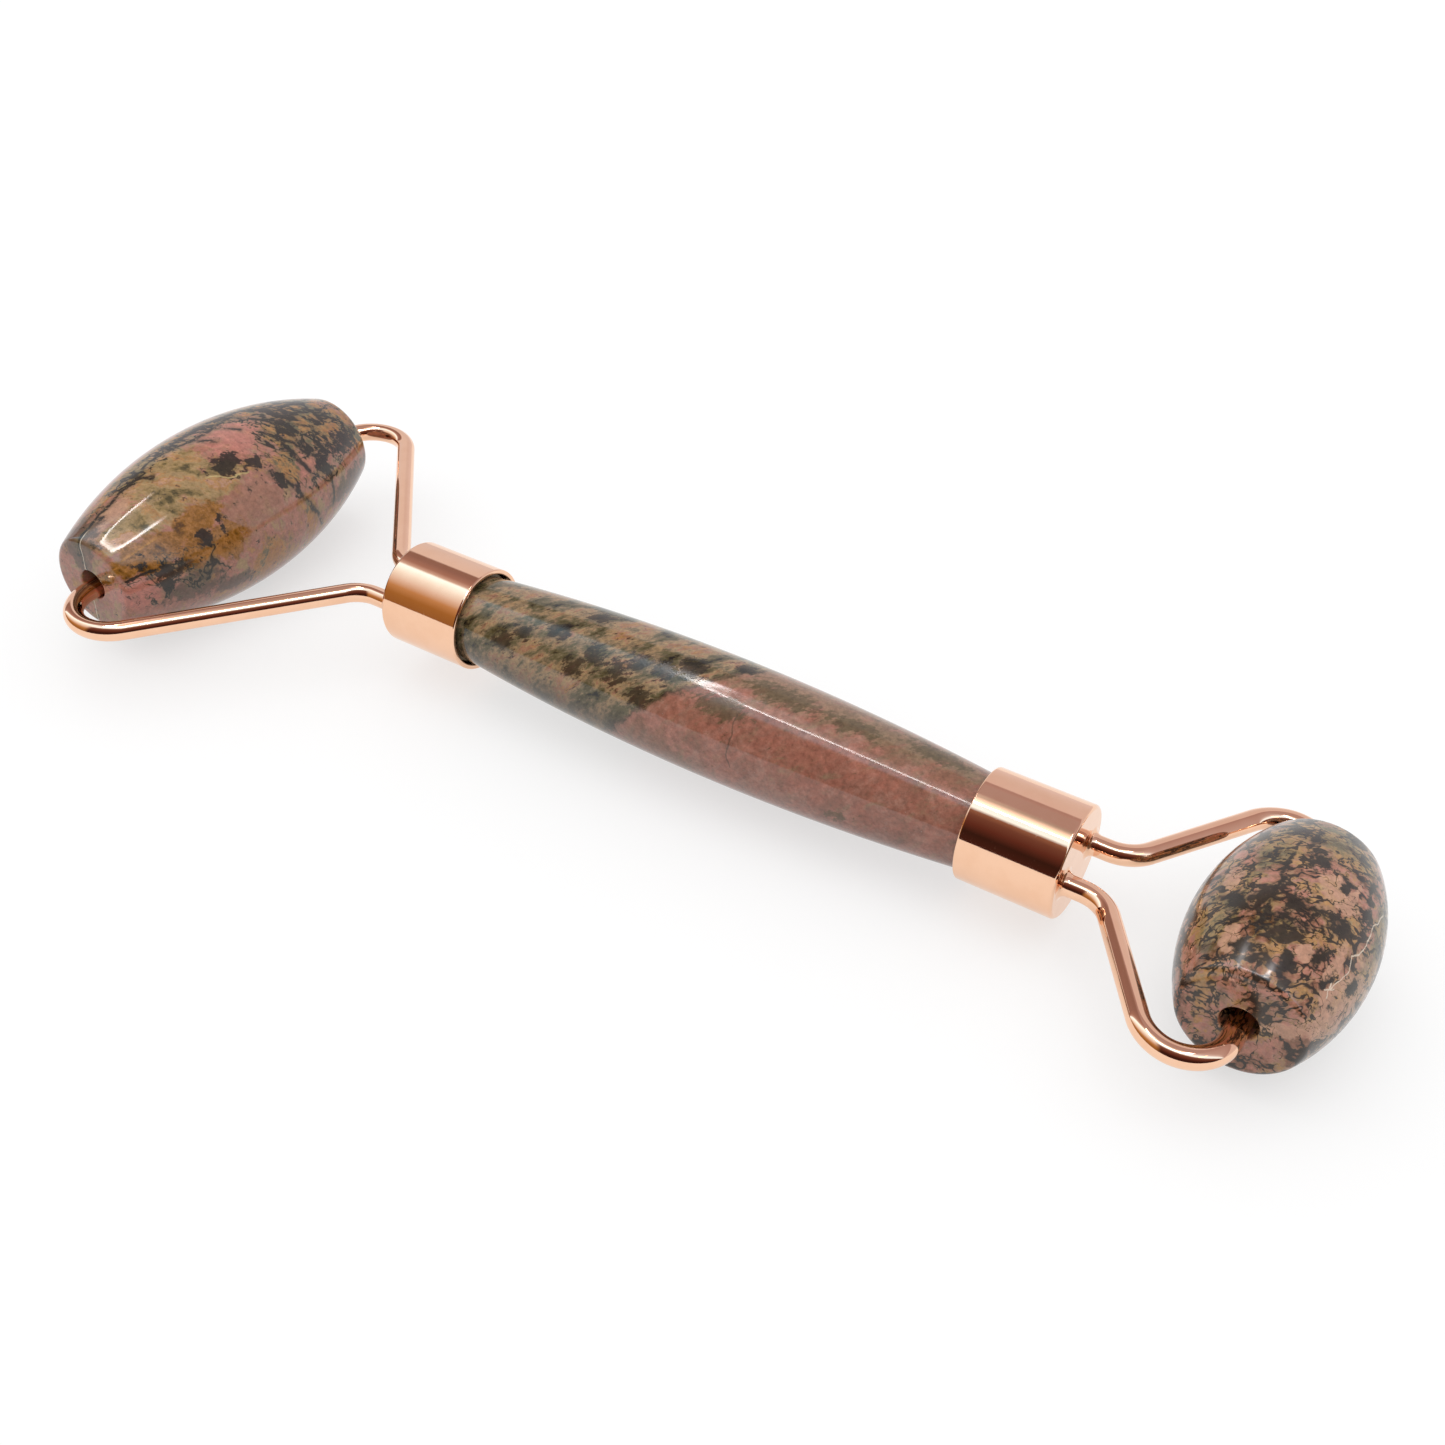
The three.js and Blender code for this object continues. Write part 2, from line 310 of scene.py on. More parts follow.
class Nodes:
    """Short forms for the nodes of one node tree."""

    def __init__(self, tree):
        self.tree = tree
        tree.nodes.clear()

    def add(self, kind, inputs=(), **settings):
        node = self.tree.nodes.new("ShaderNode" + kind)
        for name, value in settings.items():
            setattr(node, name, value)
        for key, value in dict(inputs).items():
            if isinstance(value, bpy.types.NodeSocket):
                self.tree.links.new(value, node.inputs[key])
            else:
                node.inputs[key].default_value = value
        return node

    def math(self, operation, *values, clamp=False):
        return self.add("Math", enumerate(values), operation=operation, use_clamp=clamp).outputs[0]

    def vector(self, operation, *values):
        node = self.add("VectorMath", enumerate(values), operation=operation)
        scalar = operation in ("LENGTH", "DOT_PRODUCT", "DISTANCE")
        return node.outputs["Value" if scalar else "Vector"]

    def scaled(self, place, factor):
        return self.add("VectorMath", {0: place, "Scale": factor}, operation="SCALE").outputs[0]

    def even(self, value):
        """A grey of that value."""
        return self.add("CombineXYZ", {0: value, 1: value, 2: value}).outputs[0]

    def object_place(self):
        """Where a point is in its object's own frame, in millimetres."""
        return self.scaled(self.add("TexCoord").outputs["Object"], 1 / MM)

    def noise(self, place, scale, detail, roughness=0.55, distortion=0.0):
        inputs = {"Vector": place, "Scale": scale, "Detail": detail}
        inputs |= {"Roughness": roughness, "Distortion": distortion}
        return self.add("TexNoise", inputs).outputs[0]

    def drift(self, place, scale, reach, detail=3.0):
        """How far a smooth noise pushes a place, up to about reach each way."""
        noise = self.add("TexNoise", {"Vector": place, "Scale": scale, "Detail": detail}).outputs["Color"]
        centred = self.vector("SUBTRACT", noise, (0.5, 0.5, 0.5))
        return self.scaled(centred, 2 * reach)

    def band(self, value, start, end):
        """0 at start, 1 at end, smooth between them."""
        inputs = {"Value": value, "From Min": start, "From Max": end}
        return self.add("MapRange", inputs, interpolation_type="SMOOTHSTEP").outputs[0]

    def mix(self, share, first, second, blend="MIX"):
        inputs = {0: share, 6: first, 7: second}
        return self.add("Mix", inputs, data_type="RGBA", blend_type=blend).outputs[2]

    def both(self, first, second):
        return self.math("MULTIPLY", first, second)

    def either(self, first, second):
        return self.math("MAXIMUM", first, second)

    def ramp(self, value, stops):
        node = self.add("ValToRGB", {0: value})
        elements = node.color_ramp.elements
        while len(elements) < len(stops):
            elements.new(0.5)
        for element, (position, shade) in zip(elements, stops):
            element.position = position
            element.color = shade
        return node.outputs[0]


class Stone(Nodes):
    """The solid pattern of one stone, in its own frame in millimetres.

    Places on its skin are (along, angle): millimetres along its axis, and degrees round it. The stone is
    foliated: its streaks lie in planes square to a grain direction. Order names the frame's axes that lie
    along the stone, at 0 degrees and at 90 degrees.
    """

    FAR = 1000.0  # mm, past any stone's end
    SKIN_WANDER = 0.7  # mm
    THINNEST_VEIN = 0.0002  # keeps the net's division finite where there is no vein
    MOTTLE_CONTRAST = 1.4
    POLISHED_IOR = 1.52

    def __init__(self, name, middle, tilt, order, mean_radius, grain):
        self.material = bpy.data.materials.new(name)
        self.material.use_nodes = True
        super().__init__(self.material.node_tree)
        inputs = {
            "Vector": self.add("TexCoord").outputs["Object"],
            "Location": middle,
            "Rotation": (0, tilt, 0),
            "Scale": (MM, MM, MM),
        }
        self.place = self.add("Mapping", inputs, vector_type="TEXTURE").outputs[0]
        self.grain = Vector(grain).normalized()
        self.mean_radius = mean_radius
        self.skin = self.skin_place(order)

    def skin_place(self, order):
        """(along, angle, 0) of a point, wandering a little so that no patch has a clean edge."""
        split = self.add("SeparateXYZ", {0: self.place})
        along, first, second = [self.signed(split, axis) for axis in order]
        angle = self.math("DEGREES", self.math("ARCTAN2", second, first))
        drift = self.add("SeparateXYZ", {0: self.drift(self.place, 0.5, self.SKIN_WANDER, 5.0)})
        degrees_per_mm = math.degrees(1 / self.mean_radius)
        shifted_along = self.math("ADD", along, drift.outputs[0])
        shifted_angle = self.math("MULTIPLY_ADD", drift.outputs[1], degrees_per_mm, angle)
        return self.add("CombineXYZ", {0: shifted_along, 1: shifted_angle}).outputs[0]

    def signed(self, split, axis):
        socket = split.outputs["xyz".index(axis[-1])]
        return self.math("MULTIPLY", socket, -1.0) if axis.startswith("-") else socket

    def streaked(self, squeeze, shift=0.0, wave=0.6):
        """Places for a noise that is squeezed that many times across the grain, and waved a little."""
        across = self.vector("DOT_PRODUCT", self.place, self.grain)
        reach = self.math("MULTIPLY", across, squeeze - 1)
        squeezed = self.vector("ADD", self.place, self.scaled(tuple(self.grain), reach))
        moved = self.vector("ADD", squeezed, (shift, shift, -shift))
        return self.vector("ADD", moved, self.drift(self.place, 0.25, wave * squeeze))

    def patches(self, places):
        """Ovals (along, angle, half length, half angle): 1 in the middle, 0.5 on the rim, then 0."""
        mask = None
        for along, angle, half_length, half_angle in places:
            offset = self.vector("SUBTRACT", self.skin, (along, angle, 0))
            wrapped = self.vector("WRAP", offset, (self.FAR, 180, 1), (-self.FAR, -180, -1))
            shrunk = self.vector("MULTIPLY", wrapped, (1 / half_length, 1 / half_angle, 0))
            inside = self.band(self.vector("LENGTH", shrunk), 2.0, 0.0)
            mask = inside if mask is None else self.either(mask, inside)
        return mask

    def zone(self, noise, places, reach, soft):
        """The ragged area round some patches, broken up by a noise: a longer reach keeps it more whole."""
        raised = self.math("MULTIPLY_ADD", self.patches(places), reach, noise)
        level = 0.5 + reach / 2
        return self.band(raised, level - soft, level + soft)

    def lines(self, routes, half_width):
        """1 on the given lines through (along, angle) points, 0 off them."""
        to_mm = math.radians(self.mean_radius)
        here = self.vector("MULTIPLY", self.skin, (1, to_mm, 0))
        nearest = None
        for route in routes:
            stops = [Vector((along, angle * to_mm, 0)) for along, angle in route]
            for start, end in zip(stops, stops[1:]):
                step = end - start
                offset = self.vector("SUBTRACT", here, start)
                share = self.vector("DOT_PRODUCT", offset, step / step.length_squared)
                share = self.math("ADD", share, 0.0, clamp=True)
                gap = self.vector("DISTANCE", offset, self.scaled(step, share))
                nearest = gap if nearest is None else self.math("MINIMUM", nearest, gap)
        return self.band(nearest, half_width * 1.5, half_width * 0.4)

    def end_crack(self, offset, starts, ends):
        """A hairline down the near end face, that far beside the bore, growing from starts to ends."""
        wandering = self.vector("ADD", self.place, self.drift(self.place, 0.4, 0.25))
        split = self.add("SeparateXYZ", {0: wandering})
        beside = self.math("ABSOLUTE", self.math("SUBTRACT", split.outputs[0], offset))
        return self.both(self.band(beside, 0.09, 0.03), self.band(split.outputs[1], starts, ends))

    def net(self, place, scale, width, density):
        """A wandering net, about as wide as width where density is 1: (its lines, their stained halo)."""
        noise = self.noise(place, scale, 3.0, 0.62, 0.3)
        gap = self.math("ABSOLUTE", self.math("SUBTRACT", noise, 0.5))
        swell = self.band(self.noise(place, scale * 0.9, 5.0, 0.7), 0.36, 0.68)
        reach = self.math("MULTIPLY_ADD", self.both(density, swell), 2 * width, self.THINNEST_VEIN)
        share = self.math("DIVIDE", gap, reach)
        return self.band(share, 1.0, 0.4), self.band(share, 2.8, 1.0)

    def lay(self, shade, mask, over, strength):
        """One colour laid over another where a mask allows it, at most that strongly."""
        return self.mix(self.both(mask, strength), shade, over)

    def finish(self, shade, dullness, brightness):
        """Polished stone: mottled at the scale of its crystals, and a little duller where it is porous."""
        mottle = self.noise(self.place, 1.6, 6.0, 0.75)
        darkest = brightness - self.MOTTLE_CONTRAST / 2
        light = self.math("MULTIPLY_ADD", mottle, self.MOTTLE_CONTRAST, darkest)
        warm_light = self.vector("MULTIPLY", self.even(light), WARMTH)
        mottled = self.mix(1.0, shade, warm_light, "MULTIPLY")
        specks = self.band(self.noise(self.place, 4.5, 2.0), 0.74, 0.8)
        mottled = self.lay(mottled, specks, FRACTURE_WHITE, 0.35)
        roughness = self.math("MULTIPLY_ADD", dullness, 0.12, self.math("MULTIPLY", mottle, 0.17))
        waves = self.math("MULTIPLY_ADD", mottle, 0.12, self.noise(self.place, 0.22, 1.0))
        bump = self.add("Bump", {"Strength": 0.2, "Distance": 0.05 * MM, "Height": waves})
        inputs = {"Base Color": mottled, "Roughness": roughness, "Normal": bump.outputs[0]}
        shader = self.add("BsdfPrincipled", inputs)
        shader.inputs["IOR"].default_value = self.POLISHED_IOR
        self.add("OutputMaterial", {"Surface": shader.outputs[0]})
        return self.material


# ---- Stone patterns ----

WARMTH = (1.0, 0.96, 0.86)  # the iron stain that runs through all three stones
DUSTY_PINK = colour(160, 116, 100)
PINK = colour(178, 122, 110)
BRIGHT_PINK = colour(194, 127, 120)
MAUVE = colour(166, 125, 114)
RED_BROWN = colour(142, 80, 64)
TAN = colour(172, 130, 86)
ORANGE_TAN = colour(168, 118, 68)
BUFF = colour(168, 142, 108)
OCHRE = colour(136, 92, 34)
UMBER = colour(88, 58, 26)
OLIVE = colour(148, 125, 86)
DARK_OLIVE = colour(88, 79, 54)
GREY_OLIVE = colour(108, 100, 78)
# A grey buff of the stones, also painted along the handle's top as a sheen.
HAZE_AND_SHEEN = colour(148, 124, 102)
PALE_ROSE = colour(188, 148, 128)
# A slate grey of the stones, also painted under the handle's wedge as shade.
SLATE = colour(84, 71, 62)
IRON_BLACK = colour(30, 28, 25)
CRACK_CREAM = colour(200, 180, 130)
FRACTURE_WHITE = colour(226, 212, 200)


def handle_stone_material():
    """Dusty pink, with a wedge of streaked olive, tan and black stone across its large end."""
    wedge_face = Vector((1.0, -0.84, -0.82))
    wedge_offset = 2.57
    stone = Stone("handle_rhodonite", HANDLE_CENTRE, SLOPE, ("x", "y", "z"), 6.0, wedge_face)
    squeeze = 2.6
    streaks = stone.streaked(squeeze)
    fine_streaks = stone.streaked(squeeze, 25.0, 0.3)
    blotchy = stone.noise(stone.place, 0.45, 7.0, 0.7)
    flecky = stone.noise(fine_streaks, 0.8, 8.0, 0.72)

    shade, flecks = handle_pink_end(stone, streaks, fine_streaks, blotchy, flecky)
    depth = stone.math("ADD", stone.vector("DOT_PRODUCT", stone.place, wedge_face), wedge_offset)
    ragged = stone.math("MULTIPLY_ADD", stone.math("SUBTRACT", blotchy, 0.5), 5.0, depth)
    wedge = stone.band(ragged, 0.7, -0.5)
    streaked, dark = handle_wedge(stone, streaks, flecky, wedge, shade)
    edge_line = stone.band(stone.math("ABSOLUTE", ragged), 0.6, 0.0)
    shade = stone.lay(streaked, edge_line, IRON_BLACK, 0.5)

    healed_cracks = [
        [(5.0, 130), (5.2, 165), (5.9, 190), (6.2, 214)],
        [(1.9, 194), (1.4, 216)],
    ]
    shade = stone.lay(shade, stone.lines(healed_cracks, 0.09), SLATE, 0.6)
    return stone.finish(shade, stone.either(dark, flecks), 0.78)


def handle_pink_end(stone, streaks, fine_streaks, blotchy, flecky):
    """The pinks, browner on the near side, with a painted sheen of grey haze along the top: (their colour,
    their dark flecks).
    """
    broad = stone.noise(streaks, 0.2, 6.0, 0.65)
    shade = stone.ramp(broad, [(0.3, DUSTY_PINK), (0.45, PINK), (0.56, MAUVE), (0.7, PINK)])
    brown_places = [(12, 140, 20, 36), (24, 150, 12, 50)]
    shade = stone.lay(shade, stone.zone(blotchy, brown_places, 0.2, 0.1), RED_BROWN, 0.45)
    # Painted sheen: a grey haze laid along the top stands in for the milky reflection of the overhead
    # softbox.
    painted_sheen_noise = stone.noise(fine_streaks, 0.3, 7.0, 0.7)
    shade = stone.lay(shade, stone.zone(painted_sheen_noise, [(12, 80, 22, 26)], 0.25, 0.1), HAZE_AND_SHEEN, 0.75)
    olive_places = [(-5, 196, 6, 22), (24, 92, 8, 24)]
    shade = stone.lay(shade, stone.zone(blotchy, olive_places, 0.25, 0.1), GREY_OLIVE, 0.35)
    fleck_places = [
        (8, 96, 4, 12), (16, 94, 3, 9), (17.5, 190, 1.2, 7), (3, 130, 3, 10), (25, 80, 3, 12),
    ]
    flecks = stone.zone(flecky, fleck_places, 0.3, 0.05)
    return stone.lay(shade, flecks, DARK_OLIVE, 0.7), flecks


def handle_wedge(stone, streaks, flecky, wedge, pinks):
    """The streaked wedge over the pinks, greyer below with painted shade: (the whole colour, its black
    streaks).
    """
    broad = stone.noise(streaks, 0.24, 8.0, 0.62)
    mixture = stone.math("MULTIPLY_ADD", stone.math("SUBTRACT", flecky, 0.5), 0.5, broad)
    streaked = stone.ramp(mixture, [
        (0.32, IRON_BLACK), (0.39, DARK_OLIVE), (0.46, GREY_OLIVE), (0.51, HAZE_AND_SHEEN), (0.56, BUFF),
        (0.62, DUSTY_PINK), (0.68, TAN),
    ])
    shade = stone.mix(wedge, pinks, streaked)
    dark_places = [
        (-4.5, 118, 1.4, 11), (-2, 102, 1.4, 11), (-9.5, 136, 1.4, 11), (-7.5, 118, 1.2, 11),
        (3.5, 82, 1.5, 11), (-14.5, 146, 1.3, 11), (-12.5, 128, 1.3, 11), (-24, 150, 1.4, 12),
        (-22, 134, 1.2, 9), (-6, 150, 1.4, 10), (-15, 84, 1.3, 10), (-18, 120, 1.2, 10),
    ]
    dark = stone.both(stone.zone(flecky, dark_places, 0.25, 0.05), wedge)
    shade = stone.lay(shade, dark, IRON_BLACK, 0.85)
    # Painted shade: slate laid along the wedge's underside makes it darker and greyer below.
    painted_underside_shade = stone.both(stone.patches([(-18, 195, 16, 16)]), wedge)
    return stone.lay(shade, painted_underside_shade, SLATE, 0.6), dark


def large_roller_material():
    """Pink and tan with a branching black net towards one end, and an ochre cloud towards the other."""
    middle = ROLLERS["large"]["middle"]
    grain = (-0.87, 1.0, 0.5)
    stone = Stone("large_roller_rhodonite", middle, 0.0, ("y", "x", "-z"), 8.6, grain)
    broad = stone.noise(stone.streaked(1.7), 0.22, 6.0, 0.62)
    edges = stone.noise(stone.streaked(2.2, 25.0, 0.4), 0.38, 8.0, 0.7)
    crumbs = stone.noise(stone.streaked(1.4, 60.0, 0.4), 0.75, 8.0, 0.72)
    inner = stone.math("MULTIPLY_ADD", stone.math("SUBTRACT", crumbs, 0.5), 0.6, broad)

    shade = large_roller_ground(stone, inner, edges, crumbs)
    shade, black = large_roller_veins(stone, shade, edges, crumbs)
    seam = stone.lines([[(-5.2, -59), (-3.0, -52), (-0.5, -46.5)]], 0.08)
    shade = stone.lay(shade, seam, CRACK_CREAM, 0.75)
    shade = stone.lay(shade, stone.end_crack(-0.5, -18.2, -19.2), FRACTURE_WHITE, 0.8)
    return stone.finish(shade, black, 0.86)


def large_roller_ground(stone, inner, edges, crumbs):
    """The colours between the veins: rose, tan, olive, ochre and slate clouds in pink."""
    shade = stone.ramp(inner, [(0.34, TAN), (0.43, DUSTY_PINK), (0.5, PINK), (0.56, MAUVE), (0.64, BUFF)])
    rose_places = [(1.5, -76, 4.0, 15), (-18.6, 0, 2, 22), (7, -33, 3, 8), (-13.6, -78, 0.8, 10)]
    shade = stone.lay(shade, stone.zone(edges, rose_places, 0.5, 0.12), BRIGHT_PINK, 0.7)
    shade = stone.lay(shade, stone.zone(edges, [(-2.5, -26, 5, 16)], 0.5, 0.12), DUSTY_PINK, 0.8)

    tan_places = [
        (14.5, -72, 6, 36), (10, -100, 8, 12), (18.5, -25, 1.5, 14), (-8, -108, 10, 8),
        (-10, 130, 9, 50), (-2, 18, 3, 18), (5.5, 10, 1, 22), (7, -62, 2, 14), (4.4, -36, 1.6, 12),
    ]
    tans = stone.ramp(inner, [(0.4, GREY_OLIVE), (0.47, TAN), (0.55, ORANGE_TAN), (0.66, DUSTY_PINK)])
    shade = stone.mix(stone.zone(edges, tan_places, 0.6, 0.08), shade, tans)

    olive_places = [
        (-8.5, -82, 5.5, 28), (-5.5, -54, 4, 12), (-12.5, -60, 4, 18), (8, 140, 9, 40),
        (-17, -64, 3.5, 14), (-9, -98, 4, 8),
    ]
    olives = stone.ramp(inner, [
        (0.34, DARK_OLIVE), (0.43, OLIVE), (0.51, BUFF), (0.58, TAN), (0.66, PALE_ROSE),
    ])
    shade = stone.mix(stone.zone(edges, olive_places, 0.6, 0.08), shade, olives)
    shade = stone.lay(shade, stone.zone(edges, [(-17, -88, 4, 9)], 0.5, 0.1), PALE_ROSE, 0.85)

    ochre_places = [(-16, -34, 5.5, 16), (-10, -38, 3.5, 12), (-10.5, -18, 3.4, 16), (-7.5, -14, 2.5, 14)]
    ochres = stone.ramp(inner, [
        (0.36, UMBER), (0.44, OCHRE), (0.52, ORANGE_TAN), (0.58, OCHRE), (0.66, ORANGE_TAN),
    ])
    shade = stone.mix(stone.zone(edges, ochre_places, 0.6, 0.08), shade, ochres)

    slate_places = [
        (-12.5, 10, 3.6, 14), (-7.5, 22, 2.5, 8), (14, 8, 5, 12), (-19.6, -105, 3, 30),
        (0, 170, 7, 25), (17, 30, 3, 15),
    ]
    return stone.lay(shade, stone.zone(crumbs, slate_places, 0.45, 0.1), SLATE, 0.8)


def large_roller_veins(stone, shade, edges, crumbs):
    """The black net, listed branches and clots over that ground: (the whole colour, the black)."""
    net_places = [(12, -75, 7, 40), (-3, -101, 12, 8), (10, -35, 4, 18), (-14, -5, 4, 14), (0, 110, 12, 36)]
    clear_places = [(1.5, -75, 3.4, 14), (-1, -24, 4.5, 16), (-18.6, 2, 1.8, 18), (7, -30, 2, 6)]
    clear = stone.zone(edges, clear_places, 0.6, 0.08)
    density = stone.both(stone.patches(net_places), stone.math("MULTIPLY_ADD", clear, -0.9, 1.0))
    lines, halo = stone.net(stone.streaked(1.5, 90.0, 0.8), 0.18, 0.042, density)
    more_lines, more_halo = stone.net(stone.streaked(1.8, 120.0, 0.8), 0.3, 0.04, density)
    shade = stone.lay(shade, stone.either(halo, more_halo), GREY_OLIVE, 0.55)

    clot_places = [
        (-2.2, -60, 1.8, 8), (0.3, -52, 1.6, 4), (15.5, -32, 3.0, 11), (-9.8, -24, 0.9, 6),
        (-17.6, -27, 0.6, 5), (-14.8, -14, 2.2, 6), (2.4, -33, 0.6, 8), (4.0, -20, 0.6, 6),
        (-7.3, -30, 0.3, 9), (8.5, -62, 1.3, 8), (-18, -20, 2, 1.5), (9.6, -25, 0.9, 10),
        (6.2, -48, 0.6, 8), (-15.5, -2, 1, 8),
    ]
    clots = stone.zone(crumbs, clot_places, 0.26, 0.035)
    branches = [
        [(-20, -98), (-15, -96), (-10.5, -97), (-7, -101), (-4.5, -97), (-2.5, -91), (1.5, -92),
         (4.5, -96)],
        [(-10.5, -97), (-9.4, -85)],
        [(-4.0, -101), (2.0, -102), (8.0, -99)],
        [(-1.9, -91), (-0.3, -79)],
        [(1.2, -92), (3.4, -78)],
        [(5.0, -90), (7.0, -79), (9.5, -66), (11.0, -73), (14.5, -70), (16.5, -60)],
        [(5.2, -68), (7.5, -50), (8.0, -42), (9.6, -32), (10.5, -15), (10.0, 10)],
        [(7.0, -78), (8.4, -62), (8.2, -45), (9.4, -30)],
        [(5.5, -49), (6.6, -38), (7.3, -26)],
        [(9.5, -66), (12.0, -55), (10.8, -45), (11.2, -30)],
        [(8, -94), (12, -86), (17, -95)],
        [(2.0, -40), (3.2, -28), (4.6, -14), (6.2, 2), (7.5, 20)],
    ]
    shade = stone.lay(shade, stone.lines(branches, 0.6), GREY_OLIVE, 0.4)
    broken_branches = stone.both(stone.lines(branches, 0.27), stone.band(crumbs, 0.38, 0.5))
    drawn = stone.either(broken_branches, clots)
    black = stone.either(stone.either(lines, more_lines), drawn)
    return stone.lay(shade, black, IRON_BLACK, 0.92), black


def small_roller_material():
    """A dense black, olive and tan net over dusty pink, with one jagged white fracture."""
    middle = ROLLERS["small"]["middle"]
    grain = (-0.6, 1.0, 0.3)
    stone = Stone("small_roller_rhodonite", middle, 0.0, ("y", "x", "-z"), 7.6, grain)
    broad = stone.noise(stone.streaked(1.4, 0.0, 0.5), 0.3, 6.0, 0.62)
    edges = stone.noise(stone.streaked(1.5, 25.0, 0.4), 0.42, 6.0, 0.62)
    crumbs = stone.noise(stone.streaked(1.2, 60.0, 0.4), 0.85, 5.0, 0.65)
    inner = stone.math("MULTIPLY_ADD", stone.math("SUBTRACT", crumbs, 0.5), 0.6, broad)

    shade, clear = small_roller_ground(stone, inner, edges)
    shade, black = small_roller_veins(stone, shade, clear, inner, crumbs)
    fracture = [
        [(-8, -36), (-6, -36), (-4.8, -35), (-3.9, -38.5), (-2.4, -33.5), (0.4, -36), (1.6, -34.5),
         (4, -29)],
        [(-8.5, -34), (-7.4, -38.5)],
        [(-8.3, -38.5), (-7.5, -33.5)],
    ]
    shade = stone.lay(shade, stone.lines(fracture, 0.06), FRACTURE_WHITE, 0.8)
    return stone.finish(shade, black, 0.96)


def small_roller_ground(stone, inner, edges):
    """Tan and olive clouds in pink: (their colour, the pale patches that the net leaves clear)."""
    shade = stone.ramp(inner, [(0.34, DUSTY_PINK), (0.44, PINK), (0.52, MAUVE), (0.58, TAN), (0.66, BUFF)])
    tan_places = [
        (-6, -99, 2.5, 7), (-5, -60, 0.9, 9), (3.2, -104, 1.6, 9), (6.8, -62, 2.4, 20),
        (-7, -88, 1.4, 8), (4, 150, 6, 30), (-4, -117, 4, 4),
    ]
    tans = stone.ramp(inner, [(0.38, UMBER), (0.46, OLIVE), (0.53, TAN), (0.62, DUSTY_PINK)])
    shade = stone.mix(stone.zone(edges, tan_places, 0.5, 0.16), shade, tans)
    olive_places = [
        (7.5, -88, 3, 26), (3, -112, 4, 10), (-7, -132, 4, 12), (0, 120, 8, 40), (2.5, -24, 5, 10),
        (-4, -22, 3, 7),
    ]
    olives = stone.ramp(inner, [(0.38, DARK_OLIVE), (0.46, GREY_OLIVE), (0.56, OLIVE), (0.66, HAZE_AND_SHEEN)])
    shade = stone.mix(stone.zone(edges, olive_places, 0.5, 0.16), shade, olives)
    clear_places = [
        (0.2, -66, 1.9, 15), (-8.3, -117, 1.3, 8), (-7.5, -20, 5.0, 16), (-6, -46, 2.2, 4),
        (1.6, -56, 1.6, 3), (-2, -128, 2, 5), (-7.4, -66, 0.9, 6),
    ]
    clear = stone.zone(edges, clear_places, 0.6, 0.08)
    return stone.lay(shade, clear, PALE_ROSE, 0.75), clear


def small_roller_veins(stone, shade, clear, inner, crumbs):
    """The black net and clots, with stained halos: (the whole colour, the black)."""
    density = stone.math("MULTIPLY_ADD", clear, -0.88, 1.0)
    lines, halo = stone.net(stone.streaked(1.3, 90.0, 0.8), 0.21, 0.045, density)
    more_lines, more_halo = stone.net(stone.streaked(1.5, 120.0, 0.6), 0.38, 0.038, density)
    stained = stone.ramp(inner, [(0.4, UMBER), (0.5, OLIVE), (0.6, TAN)])
    shade = stone.mix(stone.both(stone.either(halo, more_halo), 0.55), shade, stained)
    clot_places = [
        (3.0, -85, 1.3, 8), (-9.4, -73, 1.2, 5), (-5.6, -84, 1.0, 9), (-3.4, -78, 0.8, 12),
        (1.4, -64, 0.9, 3), (1.0, -44, 1.9, 3), (-6.9, -58, 1.0, 4), (-2.8, -56, 0.9, 7),
        (-5, -120, 1.2, 8), (-9, -104, 1.2, 8), (-1, -100, 5, 1.6), (6, -92, 2, 3),
        (-7.8, -42, 0.7, 4), (4, -47, 2, 2), (-5.5, -24, 1.4, 3),
    ]
    shade = stone.lay(shade, stone.zone(crumbs, clot_places, 0.5, 0.14), DARK_OLIVE, 0.55)
    clots = stone.zone(crumbs, clot_places, 0.26, 0.07)
    black = stone.either(stone.either(lines, more_lines), clots)
    return stone.lay(shade, black, IRON_BLACK, 0.92), black


# ---- Metal and adhesive ----


# Linear colours.
ROSE_GOLD = (0.90, 0.56, 0.375, 1)
PALER_ROSE_GOLD = (0.92, 0.585, 0.40, 1)
EPOXY_AMBER = (0.30, 0.22, 0.12, 1)
EPOXY_PALE = (0.45, 0.36, 0.22, 1)


def rose_gold_material():
    """Mirror-polished rose-gold plating, a little wavy, with a few shallow pits."""
    material, nodes = new_material("rose_gold")
    place = nodes.object_place()
    clouds = nodes.noise(place, 0.45, 5.0)
    pits = nodes.band(nodes.noise(place, 2.6, 3.0), 0.68, 0.76)
    roughness = nodes.math("MULTIPLY_ADD", pits, 0.14, nodes.math("MULTIPLY", clouds, 0.11))
    shade = nodes.mix(nodes.band(clouds, 0.35, 0.65), ROSE_GOLD, PALER_ROSE_GOLD)
    height = nodes.math("MULTIPLY_ADD", pits, -0.15, clouds)
    bump = nodes.add("Bump", {"Strength": 0.22, "Distance": 0.02 * MM, "Height": height})
    inputs = {"Base Color": shade, "Roughness": roughness, "Normal": bump.outputs[0], "Metallic": 1.0}
    shader = nodes.add("BsdfPrincipled", inputs)
    nodes.add("OutputMaterial", {"Surface": shader.outputs[0]})
    return material


def epoxy_material():
    """Cured epoxy, slightly cloudy."""
    material, nodes = new_material("cured_epoxy")
    clouds = nodes.noise(nodes.object_place(), 0.6, 4.0)
    shade = nodes.mix(nodes.band(clouds, 0.35, 0.65), EPOXY_AMBER, EPOXY_PALE)
    roughness = nodes.math("MULTIPLY_ADD", clouds, 0.3, 0.25)
    shader = nodes.add("BsdfPrincipled", {"Base Color": shade, "Roughness": roughness})
    nodes.add("OutputMaterial", {"Surface": shader.outputs[0]})
    return material


# ---- Pieces ----


SHARP_FROM = math.radians(40)


